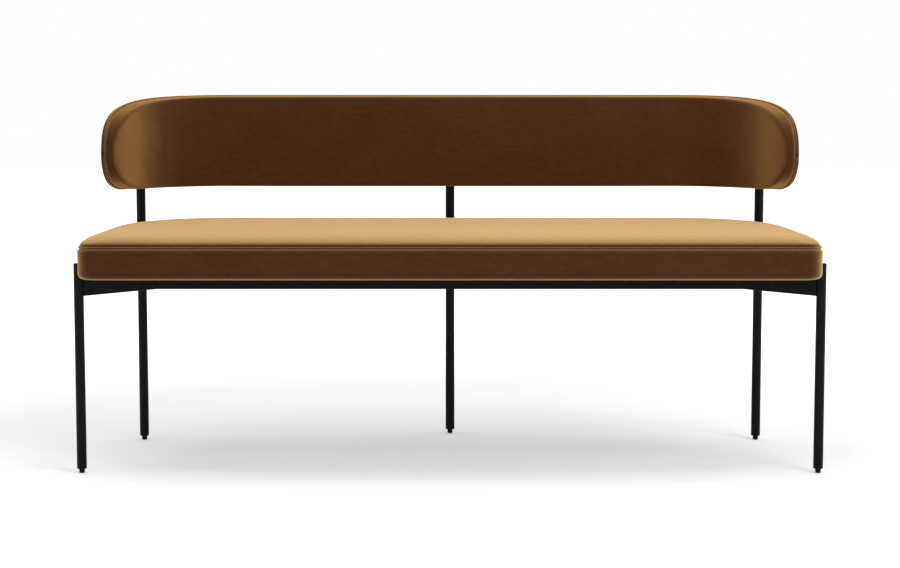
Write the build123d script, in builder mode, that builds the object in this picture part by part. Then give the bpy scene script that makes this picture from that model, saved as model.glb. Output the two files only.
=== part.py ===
from build123d import *
import math
import os

os.makedirs("parts", exist_ok=True)

# An upholstered bench: a D-shaped seat and a wrap-round backrest on a welded frame of steel tube.
# X runs along the bench, Y from its front to its back and Z up from the floor, in millimetres.
# The origin is on the floor, in the middle of the length and of the depth.

# Fits
cover_gap = 0.3
weld_gap = 0.2
screw_gap = 0.3
overrun = 5.0

# Legs and uprights: one round steel tube for all five
tube_diameter = 20.0
tube_wall = 1.5
tube_chamfer = 1.2
front_leg_x = 752.0
front_leg_setback = 60.0
front_leg_rise = 31.5
upright_angle = 46.51
upright_below_top = 40.0
tube_radius = tube_diameter / 2
tube_bore = tube_diameter - 2 * tube_wall

# Moulded glides under the tubes and caps on them
glide_height = 9.0
glide_diameter = 11.5
glide_chamfer = 1.5
plug_depth = 15.0
plug_gap = 0.2
cap_height = 3.0
cap_rounding = 1.4

# Welded frame under the seat: one rectangular steel tube for all its bars
bar_height = 35.0
bar_width = 20.0
bar_wall = 1.5
bar_rounding = 2.0
frame_bottom = 363.5
front_arm_run = 137.0
rear_arm_run = 117.1
cross_bar_share = 0.65
cope_start = 5.0
mitre_angle = 22.5
frame_top = frame_bottom + bar_height

# Seat plan: a straight front, slightly tapered sides and two large rear corners
seat_front_y = -269.0
seat_depth = 510.0
seat_side_taper = 32.0
seat_front_corner = 28.0
seat_rear_corner = 249.0
seat_front_half_width = front_leg_x
seat_back_half_width = seat_front_half_width - seat_side_taper
seat_back_y = seat_front_y + seat_depth

# Seat build-up, from the frame to the crown
dust_cover_thickness = 1.0
dust_cover_inset = 16.0
seat_cloth = 1.7
seat_lip = 34.0
seat_side_height = 65.9
seat_bottom_roll = 13.0
seat_crown = 32.0
seat_crown_width = 150.0
seat_crown_inset_shares = (0.0, -0.008, 0.015, 0.047, 0.12, 0.30, 0.487, 1.0)
seat_crown_rise_shares = (0.0, 0.156, 0.375, 0.478, 0.625, 0.844, 0.956, 1.0)
seat_crown_corner_shares = (0.75, 0.78, 0.81, 0.9, 1.14, 1.64, 2.14, 3.0)
seat_seam_roll = 7.0
seat_welt_diameter = 4.6
seat_welt_inset = 2.5
welt_round_share = 0.42
seat_board_thickness = 15.0
seat_board_inset = 18.0
seat_underside = frame_top + dust_cover_thickness + 2 * cover_gap
seat_seam_height = seat_underside + seat_side_height
seat_top = seat_seam_height + seat_crown

# Fixings of the seat: tabs on the rails, screws through them and nuts let into the board
tab_width = 30.0
tab_reach = 26.0
tab_thickness = 3.0
tab_rounding = 6.0
tab_shares = (-0.845, -0.293, 0.293, 0.845)

# Backrest build-up, from the front cover to the outer cover
back_thickness = 43.7
back_cloth = 1.7
back_front_roll = 19.0
back_rear_roll = 3.0
back_shell_thickness = 12.0
back_shell_inset = 7.0
back_outer_thickness = 4.0
back_outer_inset = 1.0
back_welt_diameter = 4.2
back_welt_proud = 1.0

# Backrest as seen from the side: a long curve down to each tip and a tighter one below it
back_clearance = 63.0
back_height = 201.0
back_tip_share = 0.39
back_tip_reach = 26.0
back_top_curve = 275.0
back_top_handle_shares = (0.82, 0.53)
back_bottom_curve = 88.5
back_bottom = seat_top + back_clearance
back_top = back_bottom + back_height
back_tip_height = back_bottom + back_height * back_tip_share

# Fixings of the backrest: two screws through each upright, which stands against the outer cover
back_screw_shares = (0.244, 0.642)

# Backrest plan: straight in the middle, each end wrapped forward round a large arc
back_inner_radius = 212.0
back_outer_radius = back_inner_radius + back_thickness
upright_circle = back_outer_radius + cover_gap + tube_radius
wrap_center_x = front_leg_x - upright_circle
wrap_center_y = seat_back_y - seat_rear_corner
back_tip_y = wrap_center_y + back_tip_reach

# Screws and the nuts that they go into
screw_diameter = 6.0
screw_head_diameter = 10.5
screw_head_height = 3.3
screw_head_taper = 18.0
socket_size = 4.0
socket_depth = 2.0
nut_flange_diameter = 19.0
nut_flange_thickness = 1.5
nut_barrel_diameter = 8.4
seat_nut_depth = 12.0
seat_screw_length = 18.0
back_nut_depth = 11.0
back_screw_length = 34.0


def save(part, name):
    part.label = name
    export_step(part, f"parts/{name}.step")


# Places worked out from the sizes above
front_leg_y = seat_front_y + front_leg_setback
front_leg_top = frame_top + front_leg_rise
upright_top = back_top - upright_below_top
side_upright_x = wrap_center_x + upright_circle * math.sin(math.radians(upright_angle))
side_upright_y = wrap_center_y + upright_circle * math.cos(math.radians(upright_angle))
middle_upright_y = wrap_center_y + upright_circle
front_rail_y = front_leg_y + front_arm_run
rear_rail_y = side_upright_y - rear_arm_run
sides = {"left": -1, "right": 1}
leg_places = {
    "front_left": (-front_leg_x, front_leg_y),
    "front_right": (front_leg_x, front_leg_y),
    "rear_left": (-side_upright_x, side_upright_y),
    "rear_right": (side_upright_x, side_upright_y),
    "rear_middle": (0, middle_upright_y),
}

# Each plane stands where a rear corner's arc is centred, with its Y axis towards the upright
upright_planes = {
    "left": Plane((-wrap_center_x, wrap_center_y, 0)).rotated((0, 0, upright_angle)),
    "right": Plane((wrap_center_x, wrap_center_y, 0)).rotated((0, 0, -upright_angle)),
    "middle": Plane((0, wrap_center_y, 0)),
}
back_screw_heights = [back_bottom + back_height * share for share in back_screw_shares]


def towards_front(side, distance, height):
    around = upright_planes[side]
    origin = around.from_local_coords((0, distance, height))
    return Plane(origin, x_dir=around.x_dir, z_dir=-around.y_dir)


def towards_back(side, distance, height):
    around = upright_planes[side]
    origin = around.from_local_coords((0, distance, height))
    return Plane(origin, x_dir=around.x_dir, z_dir=around.y_dir)


def drill(places, diameter, depth):
    with BuildPart() as tool:
        for place in places:
            with BuildSketch(place):
                Circle(diameter / 2)
            extrude(amount=depth)
    return tool.part


screw_hole = screw_diameter + 2 * screw_gap
back_screw_start = upright_circle + tube_radius
back_screw_planes = {
    side: [towards_front(side, back_screw_start, height) for height in back_screw_heights]
    for side in upright_planes
}


# Round tubes: front legs end beside the cushion, uprights run up behind the backrest
def tube(x, y, top):
    with BuildPart() as piece:
        with BuildSketch(Plane((x, y, glide_height))):
            Circle(tube_radius)
        extrude(amount=top - glide_height)
        chamfer(piece.edges().group_by(Axis.Z)[0], tube_chamfer)
        with BuildSketch(Plane((x, y, glide_height))):
            Circle(tube_bore / 2)
        extrude(amount=top - glide_height, mode=Mode.SUBTRACT)
    return piece.part


for side in sides:
    save(tube(*leg_places[f"front_{side}"], front_leg_top - cap_height), f"front_leg_{side}")

for side in upright_planes:
    with BuildPart() as upright:
        add(tube(*leg_places[f"rear_{side}"], upright_top - cap_height))
        add(drill(back_screw_planes[side], screw_hole, tube_diameter), mode=Mode.SUBTRACT)
    save(upright.part, f"rear_upright_{side}")


# Glides: a plug pressed into the tube with a smaller foot below it
def glide(x, y):
    with BuildPart() as piece:
        with BuildSketch(Plane((x, y, 0))):
            Circle(glide_diameter / 2)
        extrude(amount=glide_height)
        chamfer(piece.edges().group_by(Axis.Z)[0], glide_chamfer)
        with BuildSketch(Plane((x, y, glide_height))):
            Circle(tube_bore / 2 - plug_gap)
        extrude(amount=plug_depth)
    return piece.part


# Caps: the same plug the other way up, under a rounded disc as wide as the tube
def cap(x, y, top):
    with BuildPart() as piece:
        with BuildSketch(Plane((x, y, top - cap_height))):
            Circle(tube_radius)
        extrude(amount=cap_height)
        fillet(piece.edges().group_by(Axis.Z)[-1], cap_rounding)
        with BuildSketch(Plane((x, y, top - cap_height))):
            Circle(tube_bore / 2 - plug_gap)
        extrude(amount=-plug_depth)
    return piece.part


for place, (x, y) in leg_places.items():
    save(glide(x, y), f"glide_{place}")

for side in sides:
    save(cap(*leg_places[f"front_{side}"], front_leg_top), f"leg_cap_{side}")

for side in upright_planes:
    save(cap(*leg_places[f"rear_{side}"], upright_top), f"upright_cap_{side}")


# Bars of the frame: a plan with its end cuts, raised to the bar's height and hollowed
def bar(plane, outline, hollow, cope=None):
    with BuildPart() as piece:
        with BuildSketch(plane.offset(frame_bottom)):
            with BuildLine():
                Polyline(*outline, close=True)
            make_face()
        extrude(amount=bar_height)
        along = piece.edges().filter_by(Axis((0, 0, 0), plane.x_dir))
        fillet(along, bar_rounding)
        with BuildSketch(plane.offset(frame_bottom + bar_wall)):
            with BuildLine():
                Polyline(*hollow, close=True)
            make_face()
        extrude(amount=bar_height - 2 * bar_wall, mode=Mode.SUBTRACT)
        if cope:
            with BuildSketch(Plane((*cope, frame_bottom))):
                Circle(tube_radius + weld_gap)
            extrude(amount=bar_height, mode=Mode.SUBTRACT)
    return piece.part


def bar_points(start, end, half_width, start_slant=0, end_slant=0):
    return [
        (start - start_slant, -half_width),
        (end - end_slant, -half_width),
        (end + end_slant, half_width),
        (start + start_slant, half_width),
    ]


half_bar = bar_width / 2
half_bore = half_bar - bar_wall
mitre = half_bar * math.tan(math.radians(mitre_angle))
front_rail_half = front_leg_x - front_arm_run
rear_rail_half = side_upright_x - rear_arm_run


# Rails along the bench, mitred where the arms turn off: forward on one, back on the other
def rail(half_length, y, slant):
    end = half_length - weld_gap / 2
    spare = half_length + bar_width
    return bar(
        Plane((0, y, 0)),
        bar_points(-end, end, half_bar, -slant, slant),
        bar_points(-spare, spare, half_bore),
    )


save(rail(front_rail_half, front_rail_y, mitre), "front_rail")
save(rail(rear_rail_half, rear_rail_y, -mitre), "rear_rail")


# Arms at 45 degrees from a rail's end to a leg, coped round the tube
def arm(place, run, x_sign, y_sign):
    plane = Plane((*place, 0), x_dir=(-x_sign, -y_sign, 0), z_dir=(0, 0, 1))
    length = run * math.sqrt(2)
    end = length - weld_gap / 2
    slant = x_sign * y_sign * mitre
    return bar(
        plane,
        bar_points(cope_start, end, half_bar, 0, slant),
        bar_points(0, length + bar_width, half_bore),
        place,
    )


for side, sign in sides.items():
    save(arm(leg_places[f"front_{side}"], front_arm_run, sign, -1), f"front_arm_{side}")
    save(arm(leg_places[f"rear_{side}"], rear_arm_run, sign, 1), f"rear_arm_{side}")


# Short bars from front to back: three between the rails, one on to the middle upright
def straight_bar(x, start_y, end_y, cope=None):
    plane = Plane((x, start_y, 0), x_dir=(0, 1, 0), z_dir=(0, 0, 1))
    length = end_y - start_y
    return bar(
        plane,
        bar_points(0, length, half_bar),
        bar_points(-overrun, length + overrun, half_bore),
        cope,
    )


cross_start = front_rail_y + half_bar + weld_gap
cross_end = rear_rail_y - half_bar - weld_gap
cross_bar_x = front_rail_half * cross_bar_share
for name, x in (("left", -cross_bar_x), ("middle", 0), ("right", cross_bar_x)):
    save(straight_bar(x, cross_start, cross_end), f"cross_bar_{name}")

spur_start = rear_rail_y + half_bar + weld_gap
spur_end = middle_upright_y - cope_start
save(straight_bar(0, spur_start, spur_end, leg_places["rear_middle"]), "rear_spur")


# Fasteners: button-head screws with a hexagon socket, and flanged insert nuts
def screws(places, length):
    with BuildPart() as group:
        for place in places:
            with BuildSketch(place):
                Circle(screw_diameter / 2)
            extrude(amount=length)
            with BuildSketch(place):
                Circle(screw_head_diameter / 2)
            extrude(amount=-screw_head_height, taper=screw_head_taper)
            with BuildSketch(place.offset(-screw_head_height)):
                RegularPolygon(socket_size / 2, 6, major_radius=False)
            extrude(amount=socket_depth, mode=Mode.SUBTRACT)
    return group.part


def insert_nuts(places, depth):
    with BuildPart() as group:
        for place in places:
            with BuildSketch(place):
                Circle(nut_flange_diameter / 2)
            extrude(amount=nut_flange_thickness)
            with BuildSketch(place):
                Circle(nut_barrel_diameter / 2)
            extrude(amount=depth)
            with BuildSketch(place):
                Circle(screw_diameter / 2 + screw_gap / 2)
            extrude(amount=depth, mode=Mode.SUBTRACT)
    return group.part


def nut_holes(places, depth):
    with BuildPart() as tool:
        add(drill(places, nut_barrel_diameter + 2 * screw_gap, depth))
        add(drill(places, nut_flange_diameter + 2 * screw_gap, nut_flange_thickness + screw_gap))
    return tool.part


# Seat outline at a distance inside the cushion's edge
def seat_plan(inset, front_corner):
    taper = (seat_front_half_width - seat_back_half_width) / (seat_back_y - seat_front_y)
    shift = inset * math.sqrt(1 + taper**2)
    front = seat_front_half_width - shift - taper * inset
    back = seat_back_half_width - shift + taper * inset
    front_y = seat_front_y + inset
    back_y = seat_back_y - inset
    with BuildSketch() as plan:
        with BuildLine():
            Polyline((-front, front_y), (front, front_y), (back, back_y), (-back, back_y), close=True)
        make_face()
        fillet(plan.vertices().group_by(Axis.Y)[0], front_corner)
        fillet(plan.vertices().group_by(Axis.Y)[-1], seat_rear_corner - inset)
    return plan.sketch


def slab(bottom, top, inset):
    with BuildPart() as piece:
        with BuildSketch(Plane.XY.offset(bottom)):
            add(seat_plan(inset, max(seat_front_corner - inset, seat_bottom_roll)))
        extrude(amount=top - bottom)
    return piece.part


# The whole cushion, smaller by a margin: sides rolled in at both edges under a crowned top
def seat_form(margin):
    bottom = seat_underside + margin
    crown_stations = zip(seat_crown_inset_shares, seat_crown_rise_shares, seat_crown_corner_shares)
    with BuildPart() as piece:
        with BuildSketch(Plane.XY.offset(bottom)):
            add(seat_plan(margin, seat_front_corner - margin))
        extrude(amount=seat_seam_height - bottom)
        fillet(piece.faces().sort_by(Axis.Z)[0].edges(), seat_bottom_roll - margin)
        fillet(piece.faces().sort_by(Axis.Z)[-1].edges(), seat_seam_roll - margin)
        for inset_share, rise_share, corner_share in crown_stations:
            height = seat_seam_height + (seat_crown - margin) * rise_share
            inset = seat_seam_roll + margin + seat_crown_width * inset_share
            with BuildSketch(Plane.XY.offset(height)):
                add(seat_plan(inset, seat_front_corner * corner_share - margin))
        loft(ruled=True)
        leg_room = [Plane((*leg_places[f"front_{side}"], bottom - overrun)) for side in sides]
        room_height = front_leg_top + cover_gap + margin - bottom + overrun
        leg_tool = drill(leg_room, tube_diameter + 2 * (cover_gap + margin), room_height)
        add(leg_tool, mode=Mode.SUBTRACT)
    return piece.part


welt_inner_inset = seat_welt_inset + seat_welt_diameter
welt_bottom = seat_seam_height - seat_welt_diameter / 2
welt_top = seat_seam_height + seat_welt_diameter / 2
board_bottom = seat_underside + seat_cloth + cover_gap
board_top = board_bottom + seat_board_thickness
tab_bottom = frame_top - tab_thickness
far_above = seat_top + overrun
far_below = seat_underside - overrun

# Seat covers: a crowned top, a side band that turns under, and a piped seam between them
cushion = seat_form(0)
lining = seat_form(seat_cloth)

with BuildPart() as seat_top_cover:
    add(cushion)
    add(lining, mode=Mode.SUBTRACT)
    add(slab(welt_top + cover_gap, far_above, -overrun), mode=Mode.INTERSECT)
save(seat_top_cover.part, "seat_top_cover")

with BuildPart() as seat_side_band:
    add(cushion)
    add(lining, mode=Mode.SUBTRACT)
    add(slab(far_below, welt_bottom - cover_gap, -overrun), mode=Mode.INTERSECT)
    add(slab(far_below, board_top, seat_lip), mode=Mode.SUBTRACT)
save(seat_side_band.part, "seat_side_band")

with BuildPart() as seat_welt:
    add(slab(welt_bottom, welt_top, seat_welt_inset))
    fillet(seat_welt.faces().sort_by(Axis.Z)[-1].edges(), seat_welt_diameter * welt_round_share)
    fillet(seat_welt.faces().sort_by(Axis.Z)[0].edges(), seat_welt_diameter * welt_round_share)
    add(slab(welt_bottom, welt_top, welt_inner_inset), mode=Mode.SUBTRACT)
save(seat_welt.part, "seat_welt")

# Seat board: plywood with an insert nut over each tab of the frame
rail_sides = ((front_rail_y, -1), (rear_rail_y, 1))
tab_xs = [front_rail_half * share for share in tab_shares]
tab_middle = half_bar + weld_gap + tab_reach / 2
tab_places = [(x, y + sign * tab_middle) for y, sign in rail_sides for x in tab_xs]
seat_nut_planes = [Plane((x, y, board_top), z_dir=(0, 0, -1)) for x, y in tab_places]
seat_screw_planes = [Plane((x, y, tab_bottom)) for x, y in tab_places]

with BuildPart() as seat_board:
    add(slab(board_bottom, board_top, seat_board_inset))
    add(nut_holes(seat_nut_planes, seat_board_thickness), mode=Mode.SUBTRACT)
save(seat_board.part, "seat_board")

# Seat foam: one moulding that wraps the board's edge, with a groove for the piping
room_bottom = welt_bottom - cover_gap
room_top = welt_top + cover_gap
with BuildPart() as welt_room:
    add(slab(room_bottom, room_top, -overrun))
    add(slab(room_bottom, room_top, welt_inner_inset + cover_gap), mode=Mode.SUBTRACT)

with BuildPart() as seat_foam:
    add(seat_form(seat_cloth + cover_gap))
    add(welt_room.part, mode=Mode.SUBTRACT)
    add(slab(far_below, board_top + cover_gap, seat_board_inset - cover_gap), mode=Mode.SUBTRACT)
save(seat_foam.part, "seat_foam")

with BuildPart() as dust_cover:
    dust_bottom = frame_top + cover_gap
    add(slab(dust_bottom, dust_bottom + dust_cover_thickness, dust_cover_inset))
    add(drill(seat_screw_planes, screw_hole, overrun), mode=Mode.SUBTRACT)
save(dust_cover.part, "dust_cover")

# Seat fixings: tabs welded to the rails, flush with their tops
with BuildPart() as seat_tabs:
    for x, y in tab_places:
        with BuildSketch(Plane((x, y, tab_bottom))):
            RectangleRounded(tab_width, tab_reach, tab_rounding)
            Circle(screw_hole / 2, mode=Mode.SUBTRACT)
        extrude(amount=tab_thickness)
save(seat_tabs.part, "seat_tabs")
save(screws(seat_screw_planes, seat_screw_length), "seat_screws")
save(insert_nuts(seat_nut_planes, seat_nut_depth), "seat_insert_nuts")


# Backrest plan: the band between two distances behind its front face
def back_band(front, rear):
    inner = back_inner_radius + front
    outer = back_inner_radius + rear
    left = (-wrap_center_x, wrap_center_y)
    right = (wrap_center_x, wrap_center_y)
    with BuildSketch() as plan:
        with BuildLine():
            CenterArc(right, outer, 0, 90)
            Line((wrap_center_x, wrap_center_y + outer), (-wrap_center_x, wrap_center_y + outer))
            CenterArc(left, outer, 90, 90)
            Line((-wrap_center_x - outer, wrap_center_y), (-wrap_center_x - inner, wrap_center_y))
            CenterArc(left, inner, 90, 90)
            Line((-wrap_center_x, wrap_center_y + inner), (wrap_center_x, wrap_center_y + inner))
            CenterArc(right, inner, 0, 90)
            Line((wrap_center_x + inner, wrap_center_y), (wrap_center_x + outer, wrap_center_y))
        make_face()
    return plan.sketch


# Backrest from the side: a free curve falls to the tip and a quarter ellipse turns under it
def back_side_view(rim):
    top = back_top - rim
    bottom = back_bottom + rim
    tip = (back_tip_y + rim, back_tip_height)
    top_start = back_tip_y + back_top_curve
    bottom_start = back_tip_y + back_bottom_curve
    far = max(wrap_center_y + back_outer_radius, top_start) + overrun
    tip_handle_share, top_handle_share = back_top_handle_shares
    tip_handle = (tip[0], tip[1] + (top - tip[1]) * tip_handle_share)
    top_handle = (top_start - (top_start - tip[0]) * top_handle_share, top)
    bottom_curve = (bottom_start - tip[0], tip[1] - bottom)
    with BuildSketch(Plane.YZ) as view:
        with BuildLine():
            Bezier(tip, tip_handle, top_handle, (top_start, top))
            EllipticalCenterArc((bottom_start, tip[1]), *bottom_curve, 180, arc_size=90)
            Polyline((bottom_start, bottom), (far, bottom), (far, top), (top_start, top))
        make_face()
    return view.sketch


def wrap_distance(point):
    if abs(point.X) < wrap_center_x:
        return point.Y - wrap_center_y
    return math.hypot(abs(point.X) - wrap_center_x, point.Y - wrap_center_y)


edge_check_shares = (0, 0.5, 1)
edge_tolerance_share = 0.1


def rim_edges(shape, radius):
    close = cover_gap * edge_tolerance_share
    return shape.edges().filter_by(
        lambda edge: all(
            abs(wrap_distance(edge.position_at(share)) - radius) < close
            for share in edge_check_shares
        )
    )


def back_form(front, rear, rim, front_roll=0, rear_roll=0):
    with BuildPart() as piece:
        with BuildSketch(Plane.XY.offset(back_bottom - overrun)):
            add(back_band(front, rear))
        extrude(amount=back_top - back_bottom + 2 * overrun)
        extrude(back_side_view(rim), amount=front_leg_x, both=True, mode=Mode.INTERSECT)
        if front_roll:
            fillet(rim_edges(piece, back_inner_radius + front), front_roll)
        if rear_roll:
            fillet(rim_edges(piece, back_inner_radius + rear), rear_roll)
    return piece.part


outer_cover_front = back_thickness - back_outer_thickness
shell_rear = outer_cover_front - cover_gap
shell_front = shell_rear - back_shell_thickness
welt_front = shell_rear - back_welt_diameter
back_cover_rear = welt_front - cover_gap
lining_depth = back_cloth + cover_gap
all_back_screws = [place for side in upright_planes for place in back_screw_planes[side]]
back_nut_planes = [
    towards_back(side, back_inner_radius + shell_front, height)
    for side in upright_planes
    for height in back_screw_heights
]

# Front cover: velvet pulled over the front and the rim, back to the piped seam
with BuildPart() as back_front_cover:
    add(back_form(0, back_cover_rear, 0, back_front_roll))
    add(
        back_form(back_cloth, back_cover_rear + overrun, back_cloth, back_front_roll - back_cloth),
        mode=Mode.SUBTRACT,
    )
save(back_front_cover.part, "back_front_cover")

# Foam: fills the cover and wraps the shell's edge
with BuildPart() as back_foam:
    add(back_form(lining_depth, back_cover_rear, lining_depth, back_front_roll - lining_depth))
    add(
        back_form(shell_front - cover_gap, back_thickness, back_shell_inset - cover_gap),
        mode=Mode.SUBTRACT,
    )
save(back_foam.part, "back_foam")

# Shell: bent plywood with the insert nuts let into its front
with BuildPart() as back_shell:
    add(back_form(shell_front, shell_rear, back_shell_inset))
    add(nut_holes(back_nut_planes, back_shell_thickness + overrun), mode=Mode.SUBTRACT)
save(back_shell.part, "back_shell")

# Outer cover: a thin padded panel in the same velvet, pierced by the screws
with BuildPart() as back_outer_cover:
    add(back_form(outer_cover_front, back_thickness, back_outer_inset, 0, back_rear_roll))
    add(drill(all_back_screws, screw_hole, back_screw_length), mode=Mode.SUBTRACT)
save(back_outer_cover.part, "back_outer_cover")

# Piping: a cord in velvet, sewn in round the whole rim between the two covers
with BuildPart() as back_welt:
    welt_roll = back_welt_diameter * welt_round_share
    add(back_form(welt_front, shell_rear, -back_welt_proud, welt_roll, welt_roll))
    inner_rim = back_welt_diameter - back_welt_proud
    add(back_form(welt_front - overrun, back_thickness, inner_rim), mode=Mode.SUBTRACT)
save(back_welt.part, "back_welt")

# Screws through the uprights and the outer cover into the nuts
save(screws(all_back_screws, back_screw_length), "back_screws")
save(insert_nuts(back_nut_planes, back_nut_depth), "back_insert_nuts")
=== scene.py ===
# An upholstered bench: a black steel frame, a D-shaped velvet seat and a velvet backrest
# that wraps forward at both ends. It is put together here in the order a workshop would
# follow: frame, feet, fixings, seat, backrest, then the studio round it. Sizes are metres.
import math
import bmesh
import bpy
import numpy as np
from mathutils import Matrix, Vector
from mathutils.kdtree import KDTree


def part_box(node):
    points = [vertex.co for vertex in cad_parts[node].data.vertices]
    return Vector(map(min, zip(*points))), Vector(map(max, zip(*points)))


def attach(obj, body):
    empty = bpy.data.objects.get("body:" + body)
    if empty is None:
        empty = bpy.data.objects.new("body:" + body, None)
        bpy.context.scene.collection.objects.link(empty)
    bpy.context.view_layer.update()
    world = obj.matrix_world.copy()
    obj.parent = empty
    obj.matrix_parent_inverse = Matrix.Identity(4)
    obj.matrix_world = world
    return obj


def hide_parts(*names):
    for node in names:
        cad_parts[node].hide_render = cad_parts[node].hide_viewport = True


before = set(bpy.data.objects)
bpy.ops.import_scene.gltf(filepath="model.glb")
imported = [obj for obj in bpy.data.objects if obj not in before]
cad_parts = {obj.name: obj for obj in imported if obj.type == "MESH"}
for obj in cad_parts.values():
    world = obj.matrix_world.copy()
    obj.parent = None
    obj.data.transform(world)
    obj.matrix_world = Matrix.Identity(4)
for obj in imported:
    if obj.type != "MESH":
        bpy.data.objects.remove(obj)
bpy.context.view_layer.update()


# The frame: legs and uprights of round steel tube, rails and arms of rectangular tube,
# and the tabs that carry the seat. It is welded, ground and powder coated black as one
# piece, with the faint orange peel that such a coat has.
def link(tree, start, end):
    tree.links.new(start, end)


def set_socket(tree, socket, value):
    """Gives a socket another node's output, or a value of its own."""
    if isinstance(value, bpy.types.NodeSocket):
        link(tree, value, socket)
    else:
        socket.default_value = value


def new_finish(name, color, roughness, **sockets):
    finish = bpy.data.materials.new(name)
    finish.use_nodes = True
    tree = finish.node_tree
    shader = tree.nodes["Principled BSDF"]
    shader.inputs["Base Color"].default_value = (*color, 1)
    shader.inputs["Roughness"].default_value = roughness
    for socket, value in sockets.items():
        shader.inputs[socket.replace("_", " ")].default_value = value
    return finish, tree, shader


def noise(tree, scale, detail=2.0, stretch=(1, 1, 1)):
    place = tree.nodes.new("ShaderNodeTexCoord")
    mapping = tree.nodes.new("ShaderNodeMapping")
    mapping.inputs["Scale"].default_value = stretch
    cloud = tree.nodes.new("ShaderNodeTexNoise")
    cloud.inputs["Scale"].default_value = scale
    cloud.inputs["Detail"].default_value = detail
    link(tree, place.outputs["Object"], mapping.inputs["Vector"])
    link(tree, mapping.outputs["Vector"], cloud.inputs["Vector"])
    return cloud.outputs["Fac"]


def spread(tree, value, low, high, start=0.3, end=0.7):
    """Turns start to end of a value, by default a noise's middle part, into low to high."""
    ramp = tree.nodes.new("ShaderNodeMapRange")
    ramp.inputs["From Min"].default_value = start
    ramp.inputs["From Max"].default_value = end
    ramp.inputs["To Min"].default_value = low
    ramp.inputs["To Max"].default_value = high
    link(tree, value, ramp.inputs["Value"])
    return ramp.outputs["Result"]


def shade(tree, value, dark, light):
    """A colour between two others, by a value from 0 to 1."""
    mix = tree.nodes.new("ShaderNodeMix")
    mix.data_type = "RGBA"
    set_socket(tree, mix.inputs["A"], dark)
    set_socket(tree, mix.inputs["B"], light)
    link(tree, value, mix.inputs["Factor"])
    return mix.outputs["Result"]


def raise_grain(tree, shader, height, strength, depth):
    bump = tree.nodes.new("ShaderNodeBump")
    bump.inputs["Strength"].default_value = strength
    bump.inputs["Distance"].default_value = depth
    link(tree, height, bump.inputs["Height"])
    link(tree, bump.outputs["Normal"], shader.inputs["Normal"])


def dress(names, finish):
    for name in names:
        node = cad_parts[name]
        node.data.materials.clear()
        node.data.materials.append(finish)


powder_coat, tree, shader = new_finish(
    "black_powder_coat", (0.0018, 0.0020, 0.0022), 0.42, Specular_IOR_Level=0.1
)
coat = shade(
    tree, noise(tree, scale=60), dark=(0.0014, 0.0016, 0.0018, 1), light=(0.0026, 0.0028, 0.0031, 1)
)
link(tree, coat, shader.inputs["Base Color"])
link(tree, spread(tree, noise(tree, scale=35), low=0.33, high=0.45), shader.inputs["Roughness"])
raise_grain(tree, shader, noise(tree, scale=900, detail=1.0), strength=0.12, depth=0.0004)

tubes = ["front_leg_left", "front_leg_right"]
tubes += ["rear_upright_left", "rear_upright_right", "rear_upright_middle"]
rails = ["front_rail", "rear_rail", "front_arm_left", "front_arm_right"]
rails += ["rear_arm_left", "rear_arm_right", "rear_spur"]
rails += ["cross_bar_left", "cross_bar_middle", "cross_bar_right"]
dress(tubes + rails + ["seat_tabs"], powder_coat)

# Glides and caps: black nylon mouldings pressed into the open ends of the tubes. The
# glides stand 9 mm below the tube and are narrower, with a bevelled edge.
nylon, tree, shader = new_finish(
    "black_nylon", (0.0030, 0.0030, 0.0033), 0.5, Specular_IOR_Level=0.12
)
link(tree, spread(tree, noise(tree, scale=120), low=0.48, high=0.62), shader.inputs["Roughness"])
raise_grain(tree, shader, noise(tree, scale=1400, detail=1.0), strength=0.15, depth=0.0002)
glides = ["glide_front_left", "glide_front_right", "glide_rear_left", "glide_rear_right"]
glides += ["glide_rear_middle"]
caps = ["leg_cap_left", "leg_cap_right", "upright_cap_left", "upright_cap_right"]
caps += ["upright_cap_middle"]
dress(glides + caps, nylon)

# Screws and insert nuts: zinc-plated steel into the seat board, and black screws through
# the uprights into the backrest. The plating has a fine brushed, slightly blue cast.
zinc, tree, shader = new_finish("zinc_plate", (0.60, 0.61, 0.63), 0.35, Metallic=1.0)
link(tree, spread(tree, noise(tree, scale=300), low=0.28, high=0.44), shader.inputs["Roughness"])
raise_grain(tree, shader, noise(tree, scale=2500, detail=1.0), strength=0.1, depth=0.0001)
dress(["seat_screws", "seat_insert_nuts", "back_insert_nuts"], zinc)

black_zinc, tree, shader = new_finish("black_zinc", (0.020, 0.020, 0.022), 0.38, Metallic=1.0)
link(tree, spread(tree, noise(tree, scale=400), low=0.30, high=0.46), shader.inputs["Roughness"])
dress(["back_screws"], black_zinc)

# Seat board and backrest shell: birch plywood, the shell bent in a press. Long grain
# shows on the faces; both are closed in by the foam and the covers.
plywood, tree, shader = new_finish("birch_plywood", (0.62, 0.45, 0.27), 0.62)
grain = noise(tree, scale=18, detail=6.0, stretch=(1, 14, 14))
wood = shade(tree, grain, dark=(0.50, 0.34, 0.19, 1), light=(0.70, 0.53, 0.34, 1))
link(tree, wood, shader.inputs["Base Color"])
raise_grain(tree, shader, grain, strength=0.1, depth=0.0005)
dress(["seat_board", "back_shell"], plywood)

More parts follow.
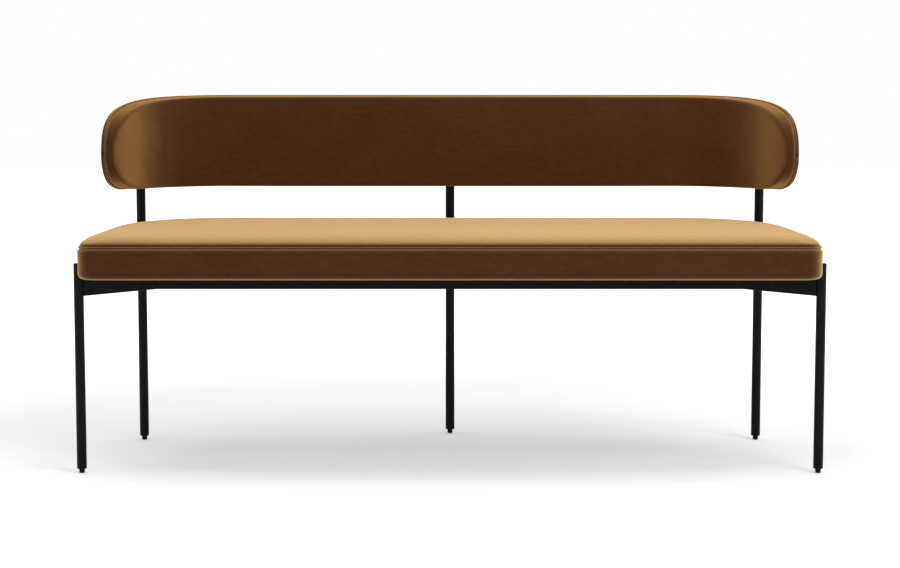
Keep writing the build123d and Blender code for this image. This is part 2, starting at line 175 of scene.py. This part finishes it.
# Dust cover: black spun-bonded lining drawn tight under the board and stapled round its
# edge, so it lies flat over the rails and puckers a little between the staples. It has the
# seat's plan, which is set out here first: straight in front, with large rounded rear corners.
lining, tree, shader = new_finish("black_lining", (0.02, 0.02, 0.02), 0.95, Specular_IOR_Level=0.1)
dimples = tree.nodes.new("ShaderNodeTexVoronoi")
dimples.inputs["Scale"].default_value = 700
place = tree.nodes.new("ShaderNodeTexCoord")
link(tree, place.outputs["Object"], dimples.inputs["Vector"])
fibres = spread(tree, noise(tree, scale=90), low=0, high=1)
threads = shade(tree, fibres, dark=(0.010, 0.010, 0.010, 1), light=(0.022, 0.022, 0.022, 1))
link(tree, threads, shader.inputs["Base Color"])
raise_grain(tree, shader, dimples.outputs["Distance"], strength=0.5, depth=0.0006)


def node_box(name):
    """A CAD node's lowest and highest corners, to a tenth of a millimetre."""
    return [[round(value, 4) for value in corner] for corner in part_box(name)]


band_low, band_high = node_box("seat_side_band")
seat_front, seat_back, seat_under = band_low[1], band_high[1], band_low[2]
seat_half_front, seat_half_back = 0.752, 0.720
seat_lean = math.atan2(seat_half_front - seat_half_back, seat_back - seat_front)
corner_insets = (-0.03, 0.007, 0.009, 0.014, 0.025, 0.052, 0.080, 0.157)
corner_radii = (0.064, 0.028, 0.028, 0.030, 0.036, 0.048, 0.060, 0.084)
rear_corner, least_side = 0.249, 0.002

# Columns round the plan, on half of it. They stand close together beside the front legs.
front_columns, corner_columns, rear_columns, back_columns = 84, 14, 44, 54
side_places = [0.0, 0.005, 0.010, 0.015]
side_places += list(np.linspace(0.019, 0.045, 19))
side_places += list(np.linspace(0.050, 0.2365, 28))
side_shares = np.array(side_places) / side_places[-1]


def arc(center, radius, start, end, count):
    turns = np.linspace(start, end, count)
    return np.stack([center[0] + radius * np.cos(turns), center[1] + radius * np.sin(turns)], 1)


def run(start, end, shares):
    start, end = np.array(start), np.array(end)
    return start + (end - start) * np.asarray(shares)[:, None]


def seat_ring(inset, height):
    """The cushion's plan at an inset: straight front, tapered sides and large rear corners."""
    front, back = seat_front + inset, seat_back - inset
    rear = rear_corner - inset
    room = seat_back - seat_front - rear_corner - inset - least_side
    corner = min(float(np.interp(inset, corner_insets, corner_radii)), room)
    reach = seat_half_front * math.cos(seat_lean) + seat_front * math.sin(seat_lean) - inset

    def corner_x(radius, y):
        return (reach - radius - y * math.sin(seat_lean)) / math.cos(seat_lean)

    front_center = (corner_x(corner, front + corner), front + corner)
    rear_center = (corner_x(rear, back - rear), back - rear)
    front_arc = arc(front_center, corner, -math.pi / 2, seat_lean, corner_columns)
    rear_arc = arc(rear_center, rear, seat_lean, math.pi / 2, rear_columns)
    half = [
        run((0, front), front_arc[0], np.linspace(0, 1, front_columns)),
        front_arc[1:],
        run(front_arc[-1], rear_arc[0], side_shares)[1:],
        rear_arc[1:],
        run(rear_arc[-1], (0, back), np.linspace(0, 1, back_columns))[1:],
    ]
    right = np.vstack(half)
    left = right[-2:0:-1] * (-1, 1)
    ring = np.vstack([right, left])
    return np.c_[ring, np.full(len(ring), height)]


def soften(points, rounds=3):
    """Cuts a line's corners again and again, which leaves a smooth curve through its middle."""
    points = np.array(points, float)
    for _ in range(rounds):
        cut = np.empty((2 * len(points) - 2, points.shape[1]))
        cut[0::2] = 0.75 * points[:-1] + 0.25 * points[1:]
        cut[1::2] = 0.25 * points[:-1] + 0.75 * points[1:]
        points = np.vstack([points[:1], cut, points[-1:]])
    return points


def respace(points, finest, growth, widest):
    """Points along a line, close together at its start and wider apart further on."""
    length = np.r_[0, np.cumsum(np.linalg.norm(np.diff(points, axis=0), axis=1))]
    step = np.minimum(finest + growth * (length[1:] + length[:-1]) / 2, widest)
    count = np.r_[0, np.cumsum(np.diff(length) / step)]
    even = np.linspace(0, count[-1], int(count[-1]) + 2)
    return np.stack([np.interp(even, count, points[:, i]) for i in range(points.shape[1])], 1)


def seat_line(points, finest=0.0016, growth=0.06, widest=0.0095):
    """Insets and heights of the cushion's rings, along a softened outline."""
    return respace(soften(points), finest, growth, widest)


# How much lower the crown lies along the front than elsewhere, by inset.
crown_foot = 0.468
front_slope = [(0.0058, 0), (0.0076, 0.0014), (0.0106, 0.0030), (0.0145, 0.0043), (0.019, 0.0055)]
front_slope += [(0.026, 0.0064), (0.036, 0.0068), (0.048, 0.0063), (0.062, 0.0053), (0.080, 0.0039)]
front_slope += [(0.105, 0.0022), (0.135, 0.0009), (0.165, 0.0002), (0.200, 0)]


def seat_rings(line):
    """The cushion's rings along a line, its crown sloping more gently at the front."""
    rings = np.array([seat_ring(*station) for station in line])
    count = rings.shape[1]
    column = np.minimum(np.arange(count), count - np.arange(count))
    corner_end = front_columns + corner_columns - 1
    fade = np.clip((corner_end - column) / (corner_columns - 1), 0, 1)
    fade = fade * fade * (3 - 2 * fade)
    insets, drops = soften(front_slope).T
    drop = np.interp(line[:, 0], insets, drops) * (line[:, 1] > crown_foot)
    rings[:, :, 2] -= drop[:, None] * fade
    return rings


def loft(rings, close_first=False, close_last=False):
    """Joins closed loops of equally many points, with a face over an end that is closed."""
    rings = np.array(rings)
    rows, count = rings.shape[:2]
    faces = []
    for low in range(0, (rows - 1) * count, count):
        high = low + count
        for i in range(count):
            ahead = (i + 1) % count
            faces.append((low + i, low + ahead, high + ahead, high + i))
    if close_first:
        faces.append(tuple(reversed(range(count))))
    if close_last:
        faces.append(tuple((rows - 1) * count + i for i in range(count)))
    return rings.reshape(-1, 3), faces


def mesh_piece(name, points, faces, finish):
    mesh = bpy.data.meshes.new(name)
    mesh.from_pydata([tuple(p) for p in points], [], faces)
    mesh.validate()
    piece = bpy.data.objects.new(name, mesh)
    bpy.context.collection.objects.link(piece)
    if finish:
        mesh.materials.append(finish)
    mesh.shade_smooth()
    return piece


def bake(piece):
    """Makes a piece's modifiers part of its mesh."""
    view = bpy.context.evaluated_depsgraph_get()
    made = bpy.data.meshes.new_from_object(piece.evaluated_get(view))
    piece.modifiers.clear()
    piece.data = made
    made.name = piece.name
    made.shade_smooth()


def thicken(piece, thickness):
    """Gives a skin its cloth's thickness, on the inside of its face."""
    skin = piece.modifiers.new("thickness", "SOLIDIFY")
    skin.thickness = thickness
    skin.offset = -1
    bake(piece)


dust_low, dust_high = node_box("dust_cover")
lining_inset, lining_play = round(dust_low[1] - seat_front, 4), 0.0001
lining_bottom, lining_top = dust_low[2] + lining_play, dust_high[2] - lining_play
staple_count, pucker_height, pucker_fade = 46, 0.00025, 6
lining_line = [(inset, lining_bottom) for inset in (lining_inset, 0.06, 0.235)]
rings = seat_rings(seat_line(lining_line, finest=0.006))
around = np.linspace(0, 2 * math.pi * staple_count, rings.shape[1])
inward = np.exp(-np.linspace(0, pucker_fade, len(rings)))
rings[:, :, 2] += pucker_height * np.sin(around) * inward[:, None]
under_lining = mesh_piece("under_lining", *loft(rings[::-1], close_first=True), lining)
under_lining.data.flip_normals()
thicken(under_lining, lining_top - lining_bottom)
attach(under_lining, "root")
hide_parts("dust_cover")

# Seat foam: one moulding of cream polyurethane foam that wraps the board's edge. Its skin
# is closed and fine, and only the covers touch it. The front legs press into its sides.
cap_low, cap_high = node_box("leg_cap_right")
leg_x, leg_y = (cap_low[0] + cap_high[0]) / 2, (cap_low[1] + cap_high[1]) / 2
leg_top, leg_radius, leg_dome = cap_high[2], (cap_high[0] - cap_low[0]) / 2, 0.012


def leave_leg_room(points, clearance):
    """Presses the cushion in round each front leg, up to the leg's top."""
    for sign in (-1, 1):
        center = np.array([sign * leg_x, leg_y])
        away = points[:, :2] - center
        reach = np.linalg.norm(away, axis=1)
        rise = np.clip((points[:, 2] - leg_top - clearance) / leg_dome, 0, 1)
        room = (leg_radius + clearance) * np.sqrt(1 - rise**2)
        push = np.where(reach < room, room / np.maximum(reach, 1e-6), 1)
        points[:, :2] = center + away * push[:, None]
    return points


foam, tree, shader = new_finish("cream_foam", (0.80, 0.72, 0.52), 0.95, Specular_IOR_Level=0.1)
cells = noise(tree, scale=1300)
skin = shade(
    tree, spread(tree, cells, low=0, high=1), dark=(0.70, 0.62, 0.43, 1), light=(0.84, 0.77, 0.58, 1)
)
link(tree, skin, shader.inputs["Base Color"])
raise_grain(tree, shader, cells, strength=0.4, depth=0.0006)

board_low, board_high = node_box("seat_board")
board_play, foam_gap, foam_leg_gap, foam_shoulder = 0.0003, 0.0022, 0.0032, 0.0015
pocket_top, pocket_inset = board_high[2] + board_play, board_low[1] - seat_front - board_play
crown_line = [(0.0078, 0.4665), (0.0060, 0.4682), (0.0058, 0.4708), (0.0076, 0.4742), (0.0106, 0.4779)]
crown_line += [(0.0145, 0.4811), (0.019, 0.4843), (0.026, 0.4877), (0.036, 0.4911), (0.048, 0.4936)]
crown_line += [(0.062, 0.4954), (0.080, 0.4967), (0.105, 0.4975), (0.135, 0.4979), (0.165, 0.4981)]
crown_line += [(0.200, 0.4983), (0.236, 0.4983)]
foam_line = [(0.236, pocket_top), (pocket_inset, pocket_top), (pocket_inset, seat_under + foam_gap)]
foam_line += [(0.013, seat_under + foam_gap), (0.006, seat_under + 0.004), (foam_gap, seat_under + 0.012)]
foam_line += [(foam_gap, 0.455), (0.005, 0.461), (0.0085, 0.4635), (0.0095, 0.468), (0.009, 0.472)]
foam_line += [(inset + foam_shoulder, height - foam_gap) for inset, height in crown_line[5:]]
foam_points, foam_faces = loft(
    seat_rings(seat_line(foam_line, finest=0.003, growth=0.0, widest=0.003)),
    close_first=True,
    close_last=True,
)
seat_pad = mesh_piece("seat_foam_pad", leave_leg_room(foam_points, foam_leg_gap), foam_faces, foam)
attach(seat_pad, "root")
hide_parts("seat_foam")


# Seat covers: tan velvet pulled tight over the foam, a crowned top panel and a side band
# that turns under and is stapled to the board. The padding swells them a little between the
# seam and the staples, and the stitching gathers them faintly along the seam.
def combine(tree, operation, first, second):
    step = tree.nodes.new("ShaderNodeMath")
    step.operation = operation
    set_socket(tree, step.inputs[0], first)
    set_socket(tree, step.inputs[1], second)
    return step.outputs["Value"]


def velvet(name, dark_painted_sheen, light_painted_sheen, sheen, sheen_gain, edge_sheen_share=1.0):
    """A short pile whose base colour is dark where the cloth faces the view and is painted pale,
    a painted sheen, as the cloth turns away from the view.

    The painted sheen grows faster with a higher gain, and is held back over an upper edge by
    the edge share. Level cloth gets a paler base colour, a painted highlight for the light
    falling on top. Patches and flecks are where the nap lies another way."""
    finish, tree, shader = new_finish(
        name,
        (0.080, 0.032, 0.011),
        0.9,
        Sheen_Weight=sheen,
        Sheen_Roughness=0.38,
        Sheen_Tint=(1.0, 0.82, 0.56, 1),
        Specular_IOR_Level=0.03,
    )
    patch_noise = noise(tree, scale=11, detail=3.0, stretch=(0.7, 1, 1.2))
    fleck_noise = noise(tree, scale=95, detail=4.0, stretch=(0.6, 1, 1.4))
    patches = spread(tree, patch_noise, low=0, high=0.5)
    flecks = spread(tree, fleck_noise, low=-0.175, high=0.675)
    nap = combine(tree, "ADD", patches, flecks)
    along = shade(tree, nap, dark=(0.0755, 0.0296, 0.0103, 1), light=(0.0970, 0.0396, 0.0143, 1))
    across = shade(tree, nap, dark=dark_painted_sheen, light=light_painted_sheen)
    # Painted highlight: level cloth, which the light from above falls on, gets this paler base colour.
    painted_top_light = shade(tree, nap, dark=(0.185, 0.094, 0.036, 1), light=(0.225, 0.118, 0.047, 1))
    lie = tree.nodes.new("ShaderNodeNewGeometry")
    split = tree.nodes.new("ShaderNodeSeparateXYZ")
    link(tree, lie.outputs["Normal"], split.inputs["Vector"])
    level = spread(tree, split.outputs["Z"], low=0, high=1, start=0.93, end=0.995)
    base = shade(tree, level, dark=along, light=painted_top_light)
    # Painted sheen: the base colour is mixed towards the pale colours as the cloth turns away from the
    # view, and less over an upper edge, which paints shade there.
    slope = tree.nodes.new("ShaderNodeLayerWeight")
    slope.inputs["Blend"].default_value = 0.5
    fall = combine(tree, "POWER", slope.outputs["Facing"], 2.2)
    gain = combine(tree, "MINIMUM", combine(tree, "MULTIPLY", fall, sheen_gain), 1)
    edge = spread(tree, split.outputs["Z"], low=1, high=edge_sheen_share, start=0.2, end=0.8)
    pile = shade(tree, combine(tree, "MULTIPLY", gain, edge), dark=base, light=across)
    link(tree, pile, shader.inputs["Base Color"])
    raise_grain(tree, shader, noise(tree, scale=1500), strength=0.2, depth=0.0003)
    return finish


def read_points(piece, kind="co"):
    values = np.zeros(len(piece.data.vertices) * 3)
    piece.data.vertices.foreach_get(kind, values)
    return values.reshape(-1, 3)


def write_points(piece, points):
    piece.data.vertices.foreach_set("co", points.ravel())
    piece.data.update()


def close_up(piece):
    """Joins points that lie on each other and takes out the empty faces between them."""
    work = bmesh.new()
    work.from_mesh(piece.data)
    bmesh.ops.remove_doubles(work, verts=work.verts, dist=1e-6)
    bmesh.ops.dissolve_degenerate(work, edges=work.edges, dist=1e-6)
    work.to_mesh(piece.data)
    work.free()


def inflate(form, held, grain=0.010, pressure=4.0, frames=20):
    """Cloth under air pressure, held at its seams: how the padding fills the covers.

    The cushion's closed form is meshed evenly and simulated, which gives how far each place
    swells, as a share of about the most."""
    balloon = mesh_piece("balloon", *form, None)
    close_up(balloon)
    even = balloon.modifiers.new("even", "REMESH")
    even.mode = "VOXEL"
    even.voxel_size = grain
    bake(balloon)
    rest = read_points(balloon)
    normals = read_points(balloon, "normal")
    group = balloon.vertex_groups.new(name="held")
    group.add([int(i) for i in np.nonzero(held(rest))[0]], 1.0, "REPLACE")
    cloth = balloon.modifiers.new("cloth", "CLOTH")
    cloth.settings.quality = 5
    cloth.settings.mass = 0.3
    cloth.settings.vertex_group_mass = "held"
    cloth.settings.use_pressure = True
    cloth.settings.uniform_pressure_force = pressure
    cloth.settings.effector_weights.gravity = 0
    cloth.settings.tension_stiffness = 15
    cloth.settings.bending_stiffness = 2
    cloth.collision_settings.use_collision = False
    scene = bpy.context.scene
    for number in range(1, frames + 1):
        scene.frame_set(number)
    bake(balloon)
    scene.frame_set(1)
    swell = ((read_points(balloon) - rest) * normals).sum(axis=1)
    bpy.data.objects.remove(balloon)
    full_swell = np.percentile(swell, 98)
    return rest, swell / full_swell


def fill_out(cover, air, cap, neighbours=6, blur=0.004, dip=-0.25):
    """Moves a cover out by the swell of the places nearest to it, up to the cap."""
    if air is None:
        return
    rest, swell = air
    near = KDTree(len(rest))
    for index, place in enumerate(rest):
        near.insert(place, index)
    near.balance()
    points = read_points(cover)
    found = [near.find_n(point, neighbours) for point in points]
    places = np.array([[hit[1] for hit in hits] for hits in found])
    weights = np.array([[1 / (hit[2] + blur) for hit in hits] for hits in found])
    share = (swell[places] * weights).sum(axis=1) / weights.sum(axis=1)
    rise = cap * np.clip(share, dip, 1)
    write_points(cover, points + read_points(cover, "normal") * rise[:, None])


# The seat's copy of the velvet has the palest painted sheen, painted light for the well-lit seat top.
seat_velvet = velvet(
    "tan_velvet_seat",
    dark_painted_sheen=(0.69, 0.422, 0.174, 1),
    light_painted_sheen=(0.76, 0.472, 0.200, 1),
    sheen=0.38,
    sheen_gain=1.85,
)
welt_low, welt_high = node_box("seat_welt")
seat_seam = (welt_low[2] + welt_high[2]) / 2
velvet_thickness, velvet_leg_gap = 0.0015, 0.0006
seam_hold, staple_hold = 0.005, 0.004
top_swell, band_swell = 0.0016, 0.0009
top_gather, band_gather, gather_reach = 0.0005, 0.0003, 0.013
band_line = [(0.034, seat_under), (0.020, seat_under), (0.013, seat_under), (0.0065, seat_under + 0.0018)]
band_line += [(0.0022, seat_under + 0.0060), (0.0006, seat_under + 0.0120), (0.0006, seat_under + 0.020)]
band_line += [(0.0012, 0.432), (0.0006, 0.449), (0.0006, 0.4575), (0.0007, 0.4597), (0.0020, 0.4614)]
band_line += [(0.0046, 0.4620), (0.0080, 0.4620), (0.0115, 0.4620)]

# The top starts lower by what it swells, all of it from an inset of 50 mm inwards.
full_swell_inset = 0.05
top_line = [(0.0120, 0.4680), (0.0095, 0.4676)] + crown_line
top_line = [(inset, height - top_swell * min(inset / full_swell_inset, 1)) for inset, height in top_line]


def gathers(rings, heights, depth):
    """Draws the cloth in by small uneven waves along the seam."""
    along = np.linspace(0, 2 * math.pi, rings.shape[1], endpoint=False)
    draw = np.zeros(rings.shape[1])
    chance = np.random.default_rng(7)
    for waves in (61, 83, 107, 139, 173):
        draw += chance.uniform(0.5, 1) * np.sin(waves * along + chance.uniform(0, 2 * math.pi))
    weight = np.exp(-(np.abs(heights - seat_seam) / gather_reach) ** 2)
    middle = rings.mean(axis=1, keepdims=True)
    inward = middle - rings
    inward[:, :, 2] = 0
    inward /= np.linalg.norm(inward, axis=2, keepdims=True)
    return rings + inward * (depth / 3 * weight[:, None] * draw)[:, :, None]


def seat_held(points):
    """The seat covers are held by the seam all round and by the staples underneath."""
    height = points[:, 2]
    return (np.abs(height - seat_seam) < seam_hold) | (height < seat_under + staple_hold)


def seat_cover(name, line, gather, swell, closed):
    stations = seat_line(line)
    rings = gathers(seat_rings(stations), stations[:, 1], gather)
    cover = mesh_piece(name, *loft(rings, close_last=closed), seat_velvet)
    fill_out(cover, seat_air, swell)
    write_points(cover, leave_leg_room(read_points(cover), velvet_leg_gap))
    thicken(cover, velvet_thickness)
    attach(cover, "root")
    return cover


seat_form = loft(
    seat_rings(np.vstack([seat_line(band_line), seat_line(top_line)])),
    close_first=True,
    close_last=True,
)
seat_air = inflate(seat_form, seat_held)
seat_top_velvet = seat_cover("seat_top_velvet", top_line, top_gather, top_swell, closed=True)
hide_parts("seat_top_cover")
seat_side_velvet = seat_cover("seat_side_velvet", band_line, band_gather, band_swell, closed=False)
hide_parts("seat_side_band")

# Seat piping: a cord wrapped in a strip of the same velvet, sewn into the seam between the
# top and the band, round the whole seat. Its copy of the velvet is darker than the seat's,
# painted shade for the dark lines in the seam beside it.
cord_velvet = velvet(
    "tan_velvet_cord",
    dark_painted_sheen=(0.56, 0.300, 0.112, 1),
    light_painted_sheen=(0.62, 0.340, 0.132, 1),
    sheen=0.1,
    sheen_gain=3.4,
)
cord_step, cord_sides = 0.004, 12
seat_cord_inset, seat_cord_height, seat_cord_radius = 0.0046, 0.4656, 0.0022


def even_path(path, step):
    closed = np.vstack([path, path[:1]])
    length = np.r_[0, np.cumsum(np.linalg.norm(np.diff(closed, axis=0), axis=1))]
    even = np.linspace(0, length[-1], int(length[-1] / step), endpoint=False)
    return np.stack([np.interp(even, length, closed[:, i]) for i in range(3)], 1)


def piping(name, path, radius):
    """A round cord along a closed path, whose last ring joins its first."""
    path = even_path(path, cord_step)
    ahead = np.roll(path, -1, 0) - np.roll(path, 1, 0)
    ahead /= np.linalg.norm(ahead, axis=1)[:, None]
    side = np.cross(ahead, np.array([0, 0, 1.0]))
    side /= np.maximum(np.linalg.norm(side, axis=1), 1e-6)[:, None]
    up = np.cross(side, ahead)
    lines = []
    for turn in np.linspace(0, 2 * math.pi, cord_sides, endpoint=False):
        lines.append(path + radius * (math.cos(turn) * side + math.sin(turn) * up))
    tube = np.stack(lines, 1)
    points, faces = loft(np.vstack([tube, tube[:1]]))
    count = len(path) * cord_sides
    faces = [tuple(int(corner) % count for corner in face) for face in faces]
    cord = mesh_piece(name, points[:count], faces, cord_velvet)
    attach(cord, "root")
    return cord


seat_piping = piping("seat_piping", seat_ring(seat_cord_inset, seat_cord_height), seat_cord_radius)
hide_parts("seat_welt")

# Backrest foam: moulded foam on the bent shell, rolled over its edge. It follows the
# shell's plan, straight in the middle and wrapped forward round a large arc at each end,
# and thins out towards the tips, so that its front turns back to the seam there.
front_low = node_box("back_front_cover")[0]
tip_y, back_bottom = front_low[1], front_low[2]
back_top, tip_height = 0.762, 0.63939
wrap_x, wrap_y, wrap_radius = 0.486, -0.008, 0.212
top_reach, bottom_reach = 0.275, 0.0885
tip_handle, top_handle = 0.82, 0.53
tip_thinning, thin_reach, thin_power = 0.0180, 0.085, 2.4
shell_front, shell_edge = 0.0271, 0.0067
wrap_columns, middle_columns, edge_columns, tip_closeness = 58, 100, 300, 1.7
wrap_shares = np.linspace(0, 1, wrap_columns) ** tip_closeness
middle_shares = np.linspace(0, 1, middle_columns)


def back_loop(depth, side, rise, lift, thinning=tip_thinning):
    """A loop round the backrest at a depth behind its front, inside its outline by three insets.

    Side is the inset at the tips, rise the one at the top edge and lift at the bottom edge."""
    radius = wrap_radius + depth
    bend = np.linspace(0, 1, edge_columns)
    start, end = tip_y + side, tip_y + top_reach
    weights = np.stack([(1 - bend) ** 3, 3 * bend * (1 - bend) ** 2, 3 * bend**2 * (1 - bend), bend**3])
    curve_y = np.array([start, start, end - (end - start) * top_handle, end]) @ weights
    curve_z = tip_height + (back_top - rise - tip_height) * (np.array([0, tip_handle, 1, 1]) @ weights)
    low = math.asin((start - wrap_y) / radius)
    turns = low + (math.pi / 2 - low) * wrap_shares
    y = wrap_y + radius * np.sin(turns)
    near_tip = np.clip((tip_y + thin_reach - y) / thin_reach, 0, 1)
    radius = radius + thinning * max(1 - depth / shell_front, 0) * near_tip**thin_power
    across = radius * np.cos(turns)
    x = np.r_[-wrap_x - across, -wrap_x + 2 * wrap_x * middle_shares[1:-1], wrap_x + across[::-1]]
    y = np.r_[y, np.full(middle_columns - 2, y[-1]), y[::-1]]
    under = np.clip((tip_y + bottom_reach - y) / (bottom_reach - side), 0, 1)
    lower = tip_height - (tip_height - back_bottom - lift) * np.sqrt(1 - under**2)
    upper = np.interp(y, curve_y, curve_z)
    upper[[0, -1]] = lower[[0, -1]] = tip_height
    return np.vstack([np.c_[x, y, lower], np.c_[x, y, upper][-2:0:-1]])


def rim_loops(line, thinning=tip_thinning):
    return [back_loop(depth, rim, rim, rim, thinning) for depth, rim in line]


def face_loops(depth, rim, thinning=tip_thinning, count=13, tip_run=0.040):
    """Loops from the rim of a face to the line at the tips' height, where they all meet."""
    top_span, bottom_span = back_top - tip_height, tip_height - back_bottom
    loops = []
    for share in np.linspace(0, 1, count)[1:]:
        rise, lift = rim + (top_span - rim) * share, rim + (bottom_span - rim) * share
        loops.append(back_loop(depth, rim + tip_run * share, rise, lift, thinning))
    return loops


def roll(reach, drop, depth, rim, count=12, fullness=1.5):
    """A quarter of a full oval from the rim to a face: depth and rim of each point."""
    turns = np.linspace(0, math.pi / 2, count)
    return [(depth + reach * (1 - math.sin(t)) ** fullness, rim + drop * (1 - math.cos(t))) for t in turns]


foam_front, foam_rear, foam_flat, foam_bevel = 0.0022, 0.0345, 0.0270, 0.001
foam_reach, foam_drop, foam_thinning = 0.0064, 0.0120, 0.0200
foam_back = [(shell_front, shell_edge), (foam_rear, shell_edge), (foam_rear, foam_gap + foam_bevel)]
foam_back += [(foam_rear - foam_bevel, foam_gap), (foam_flat, foam_gap)]
foam_loops = face_loops(shell_front, shell_edge)[::-1]
foam_loops += rim_loops(foam_back)
foam_loops += rim_loops(roll(foam_reach, foam_drop, foam_front, foam_gap), foam_thinning)
foam_loops += face_loops(foam_front, foam_gap + foam_drop, foam_thinning)
back_pad = mesh_piece("back_foam_pad", *loft(foam_loops), foam)
close_up(back_pad)
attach(back_pad, "root")
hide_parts("back_foam")

# Backrest front cover: the same velvet drawn over the front and the whole rim, back to the
# piped seam behind it. Its copy of the velvet has a darker painted sheen than the seat's,
# painted shade for the backrest, which gets less light, and over the rolled upper edge the
# painted sheen is held back further, painted shade there.
back_velvet = velvet(
    "tan_velvet_back",
    dark_painted_sheen=(0.53, 0.262, 0.092, 1),
    light_painted_sheen=(0.59, 0.298, 0.108, 1),
    sheen=0.12,
    sheen_gain=3.4,
    edge_sheen_share=0.5,
)
roll_reach, roll_drop, cover_rear = 0.0068, 0.0135, 0.0349
back_swell, back_seam_reach, form_inset = 0.0022, 0.0315, 0.0075
cover_rim = [(cover_rear, 0.0080), (cover_rear, 0.0052), (0.0345, 0.0030), (0.0335, 0.0014)]
cover_rim += [(0.0318, 0.0004), (0.029, 0), (0.0255, 0), (0.022, 0)]
cover_loops = rim_loops(cover_rim + roll(roll_reach, roll_drop, 0, 0, count=18))
cover_loops += face_loops(0, roll_drop)
back_cover = mesh_piece("back_front_velvet", *loft(cover_loops), back_velvet)
close_up(back_cover)


def back_held(points):
    """The front cover is held all round by the piped seam at its rear."""
    reach = np.hypot(np.maximum(np.abs(points[:, 0]) - wrap_x, 0), points[:, 1] - wrap_y)
    return reach - wrap_radius > back_seam_reach


back_form = loft(face_loops(cover_rear, form_inset)[::-1] + cover_loops)
fill_out(back_cover, inflate(back_form, back_held), back_swell)
thicken(back_cover, velvet_thickness)
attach(back_cover, "root")
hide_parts("back_front_cover")

# Backrest piping: the same wrapped cord, thinner, sewn in round the whole rim between the
# front cover and the outer cover.
back_cord_depth, back_cord_inset, back_cord_radius = 0.0373, 0.0011, 0.0020
back_cord_path = back_loop(back_cord_depth, back_cord_inset, back_cord_inset, back_cord_inset)
back_piping = piping("back_piping", back_cord_path, back_cord_radius)
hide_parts("back_welt")

# Outer cover: velvet over a thin pad on the shell's back, sewn to the piping round its edge.
# The uprights stand against it, and their screws pass through it into the shell.
# Its copy of the velvet has a much darker painted sheen, painted shade for the back, which the light does
# not reach.
outer_velvet = velvet(
    "tan_velvet_outer",
    dark_painted_sheen=(0.30, 0.156, 0.058, 1),
    light_painted_sheen=(0.35, 0.186, 0.070, 1),
    sheen=0.1,
    sheen_gain=2.2,
)
panel_front, panel_rear, panel_rim, panel_round, panel_lip = 0.0397, 0.0437, 0.0010, 0.0026, 0.012
panel_line = [(panel_front, panel_lip), (panel_front, 0.0026), (0.0402, 0.0014), (0.0410, panel_rim)]
for turn in np.linspace(0.2, math.pi / 2, 7):
    depth = panel_rear - panel_round + panel_round * math.sin(turn)
    panel_line.append((depth, panel_rim + panel_round * (1 - math.cos(turn))))
panel_loops = face_loops(panel_front, panel_lip)[::-1] + rim_loops(panel_line)
panel_loops += face_loops(panel_rear, panel_rim + panel_round)
outer_cover = mesh_piece("back_outer_velvet", *loft(panel_loops), outer_velvet)
close_up(outer_cover)
outer_cover.data.flip_normals()
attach(outer_cover, "root")
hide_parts("back_outer_cover")

# The studio: a white floor that takes the soft shadow and runs out into white, under a
# white sky, with a soft key lamp in front and a wide dim one overhead.
floor_finish, tree, shader = new_finish(
    "white_floor", (0.84, 0.84, 0.84), 0.9, Specular_IOR_Level=0.0
)


def seen_rays(tree):
    """One where the floor or the sky is seen directly, in a reflection or through glass."""
    rays = tree.nodes.new("ShaderNodeLightPath")
    total = rays.outputs["Is Camera Ray"]
    for kind in ("Is Glossy Ray", "Is Transmission Ray"):
        total = combine(tree, "MAXIMUM", total, rays.outputs[kind])
    return total


# Under the bench the floor's own white fades in an oval, which leaves the shadow showing.
place = tree.nodes.new("ShaderNodeTexCoord")
oval = tree.nodes.new("ShaderNodeMapping")
oval.inputs["Location"].default_value = (0.0, -0.3, 0.0)
oval.inputs["Scale"].default_value = (0.5, 0.8, 1.0)
link(tree, place.outputs["Object"], oval.inputs["Vector"])
length = tree.nodes.new("ShaderNodeVectorMath")
length.operation = "LENGTH"
link(tree, oval.outputs["Vector"], length.inputs[0])
fade = spread(tree, length.outputs["Value"], low=0.34, high=1.0, start=0.5, end=1.3)
glow = tree.nodes.new("ShaderNodeEmission")
glow.inputs["Color"].default_value = (1, 1, 1, 1)
link(tree, combine(tree, "MULTIPLY", seen_rays(tree), fade), glow.inputs["Strength"])
add = tree.nodes.new("ShaderNodeAddShader")
link(tree, shader.outputs["BSDF"], add.inputs[0])
link(tree, glow.outputs["Emission"], add.inputs[1])
link(tree, add.outputs["Shader"], tree.nodes["Material Output"].inputs["Surface"])
floor_corners = [(-9, -6, 0), (9, -6, 0), (9, 12, 0), (-9, 12, 0)]
floor = mesh_piece("floor", floor_corners, [(0, 1, 2, 3)], floor_finish)

# The sky is white to look at and lights the bench dimly.
world = bpy.data.worlds.new("studio")
bpy.context.scene.world = world
world.use_nodes = True
tree = world.node_tree
background = tree.nodes["Background"]
background.inputs["Color"].default_value = (1, 1, 1, 1)
sky = spread(tree, seen_rays(tree), low=0.42, high=1.0, start=0, end=1)
link(tree, sky, background.inputs["Strength"])


def lamp(name, place, aim, width, height, power):
    data = bpy.data.lights.new(name, "AREA")
    data.shape = "RECTANGLE"
    data.size = width
    data.size_y = height
    data.energy = power
    piece = bpy.data.objects.new(name, data)
    bpy.context.collection.objects.link(piece)
    piece.location = place
    piece.rotation_euler = (Vector(place) - Vector(aim)).to_track_quat("Z", "Y").to_euler()


lamp("key", (2.7, -3.1, 3.3), aim=(0, 0, 0.4), width=2.4, height=2.0, power=82)
lamp("overhead", (0, 0.2, 3.2), aim=(0, 0.1, 0.4), width=4.0, height=2.5, power=42)

# The camera: 4.5 m in front of the bench's middle, a little over its height, and tilted
# down by 6 degrees.
lens = bpy.data.cameras.new("camera")
lens.lens = 85
lens.sensor_width = 36
lens.sensor_fit = "HORIZONTAL"
camera = bpy.data.objects.new("camera", lens)
camera.location = (0, -4.4882, 0.8396)
camera.rotation_euler = (math.radians(83.975), 0, 0)
bpy.context.collection.objects.link(camera)
bpy.context.scene.camera = camera
bpy.context.scene.view_settings.view_transform = "Standard"
